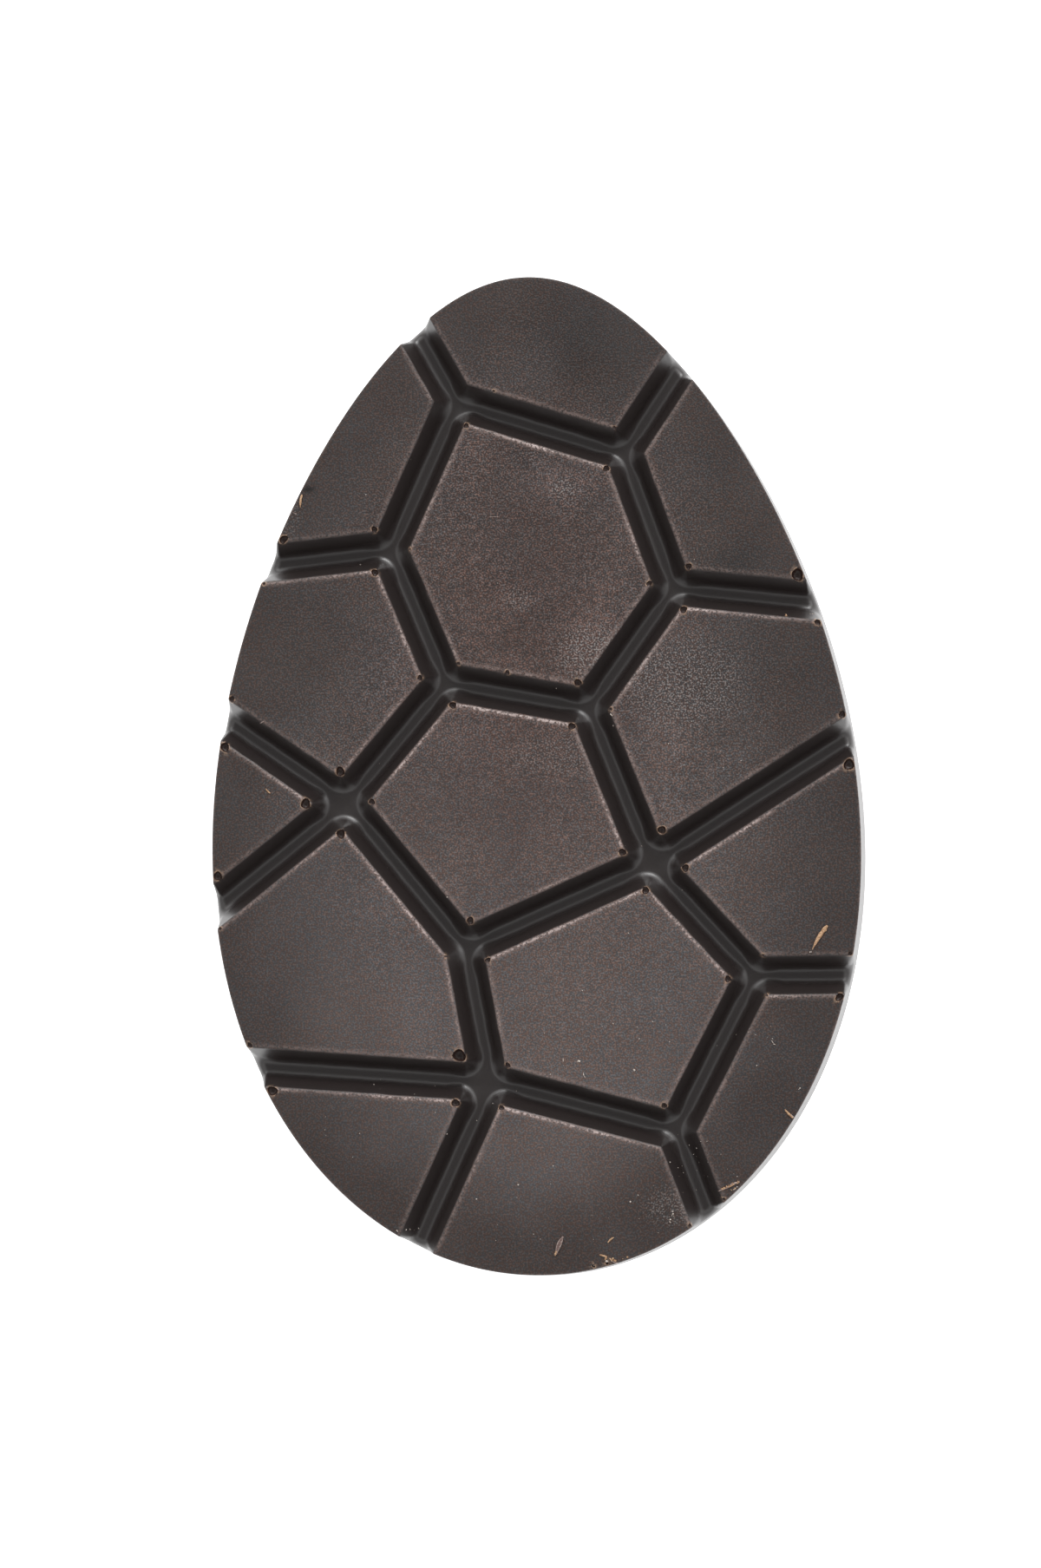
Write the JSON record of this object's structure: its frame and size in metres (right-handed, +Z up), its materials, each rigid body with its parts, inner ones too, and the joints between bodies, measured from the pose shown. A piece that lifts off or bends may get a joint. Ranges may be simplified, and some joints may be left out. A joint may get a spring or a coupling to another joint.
{
  "type": "chocolate slab",
  "caption": "Egg-shaped tablet of moulded dark chocolate. Grooves that run out through the rim part its upper face into flat tiles. Its back is flat.",
  "frame": {"origin": "middle of the flat back, under the middle of the egg's length", "axes": "+Z up out of the grooved face, +Y towards the egg's narrow end, +X to the right when the narrow end points away"},
  "size_m": [0.098, 0.15, 0.008],
  "materials": {
    "dark_chocolate": "satin, dry on the tiles and glossy in the grooves"
  },
  "bodies": {
    "root": {"chocolate_slab": "dark_chocolate"}
  },
  "joints": []
}
